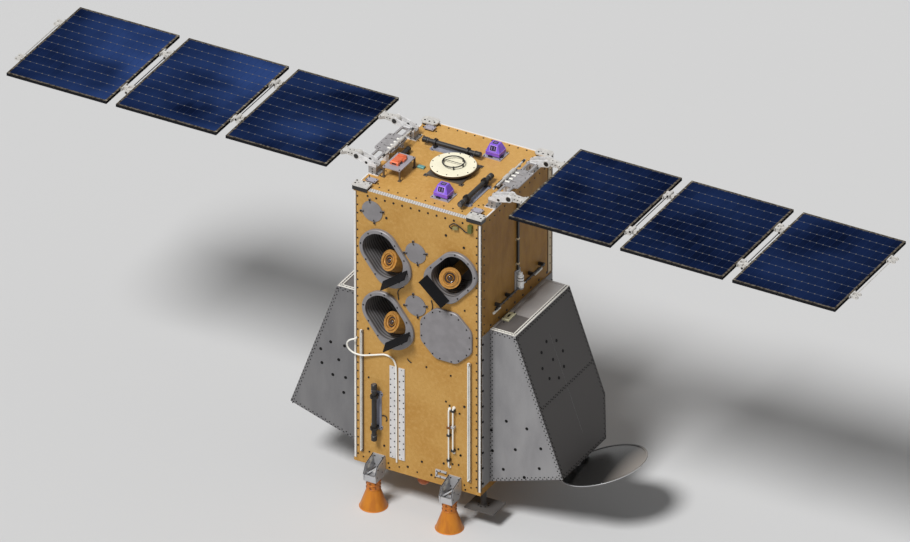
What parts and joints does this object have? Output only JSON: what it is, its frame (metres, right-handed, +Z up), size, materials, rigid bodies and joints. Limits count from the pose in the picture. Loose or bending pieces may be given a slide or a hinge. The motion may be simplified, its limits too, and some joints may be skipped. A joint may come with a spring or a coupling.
{
  "type": "small satellite with two folding solar wings",
  "caption": "Box-shaped Earth-observing satellite with two folding solar wings, canted cameras in cups, side housings, a dish and corner thruster nozzles.",
  "frame": {"origin": "middle of the four nozzle exits, on the plane they stand on", "axes": "+X along the wing span, -Y out of the equipment face, +Z up through the top deck"},
  "size_m": [5.296, 1.118, 2.085],
  "materials": {
    "gold_film": "satin golden thermal film over sandwich panel",
    "white_paint": "matt white",
    "foil_strip": "ribbed bright foil",
    "machined_aluminium": "satin machined",
    "white_lug": "bead blasted",
    "grey_housing": "satin grey paint",
    "light_cap": "satin",
    "dish_grey": "satin grey",
    "orange_nozzle": "satin orange coating",
    "orange_camera": "satin orange anodised",
    "black_coat": "matt black",
    "dark_body": "satin dark blue-black",
    "red_unit": "satin orange red",
    "cream_disc": "matt cream",
    "purple_coat": "satin purple anodised",
    "patch_white": "satin pale grey",
    "brown_dome": "satin reddish brown",
    "solar_cells": "deep blue cells on a dark panel with a pale rim"
  },
  "bodies": {
    "bus": {"adapter_ring": "machined_aluminium", "bottom_deck": "gold_film", "bottom_dome": "brown_dome", "camera_cups": "grey_housing", "camera_units": "orange_camera", "connector_loop": "black_coat", "corner_blocks": "black_coat", "corner_fittings": "white_lug", "corner_posts": "white_paint", "deck_plates": "machined_aluminium", "disc_antenna": "cream_disc", "disc_ring": "black_coat", "dish": "dish_grey", "dish_mount": "machined_aluminium", "edge_strips": "foil_strip", "face_covers": "grey_housing", "feed_tubes": "white_paint", "front_cable": "white_paint", "front_panel": "gold_film", "front_rails": "white_paint", "housing_caps": "light_cap", "left_panel": "gold_film", "nozzle_brackets": "machined_aluminium", "nozzles": "orange_nozzle", "patch_antenna": "patch_white", "perforated_strips": "white_paint", "rear_panel": "gold_film", "red_unit": "red_unit", "release_gear": "machined_aluminium", "right_panel": "gold_film", "rod_mounts": "machined_aluminium", "root_brackets": "machined_aluminium", "root_cartridges": "white_paint", "root_dampers": "black_coat", "sensor_bodies": "dark_body", "shade_plates": "black_coat", "side_conduits": "black_coat", "side_housings": "grey_housing", "sun_sensors": "purple_coat", "table_bracket": "machined_aluminium", "top_deck": "gold_film", "torque_rods": "black_coat"},
    "wing_1_right": {"root_arms_right": "white_lug", "solar_panel_1_right": "solar_cells", "hinge_lugs_1_right": "white_lug"},
    "wing_2_right": {"solar_panel_2_right": "solar_cells", "hinge_lugs_2_right": "white_lug"},
    "wing_3_right": {"solar_panel_3_right": "solar_cells", "hinge_lugs_3_right": "white_lug"},
    "wing_1_left": {"root_arms_left": "white_lug", "solar_panel_1_left": "solar_cells", "hinge_lugs_1_left": "white_lug"},
    "wing_2_left": {"solar_panel_2_left": "solar_cells", "hinge_lugs_2_left": "white_lug"},
    "wing_3_left": {"solar_panel_3_left": "solar_cells", "hinge_lugs_3_left": "white_lug"}
  },
  "joints": [
    {"name": "root_right", "type": "hinge", "parent": "bus", "child": "wing_1_right", "pos_m": [0.478, 0, 2.06], "axis": [0, 1, 0], "range_deg": [0, 90]},
    {"name": "fold_12_right", "type": "hinge", "parent": "wing_1_right", "child": "wing_2_right", "pos_m": [1.238, 0, 2.074], "axis": [0, 1, 0], "range_deg": [-180, 0]},
    {"name": "fold_23_right", "type": "hinge", "parent": "wing_2_right", "child": "wing_3_right", "pos_m": [1.934, 0, 2.046], "axis": [0, 1, 0], "range_deg": [0, 180]},
    {"name": "root_left", "type": "hinge", "parent": "bus", "child": "wing_1_left", "pos_m": [-0.478, 0, 2.06], "axis": [0, -1, 0], "range_deg": [0, 90]},
    {"name": "fold_12_left", "type": "hinge", "parent": "wing_1_left", "child": "wing_2_left", "pos_m": [-1.238, 0, 2.074], "axis": [0, -1, 0], "range_deg": [-180, 0]},
    {"name": "fold_23_left", "type": "hinge", "parent": "wing_2_left", "child": "wing_3_left", "pos_m": [-1.934, 0, 2.046], "axis": [0, -1, 0], "range_deg": [0, 180]}
  ],
  "couplings": [
    {"joint": "fold_12_right", "follows": "root_right", "ratio": -2},
    {"joint": "fold_23_right", "follows": "root_right", "ratio": 2},
    {"joint": "fold_12_left", "follows": "root_left", "ratio": -2},
    {"joint": "fold_23_left", "follows": "root_left", "ratio": 2}
  ]
}
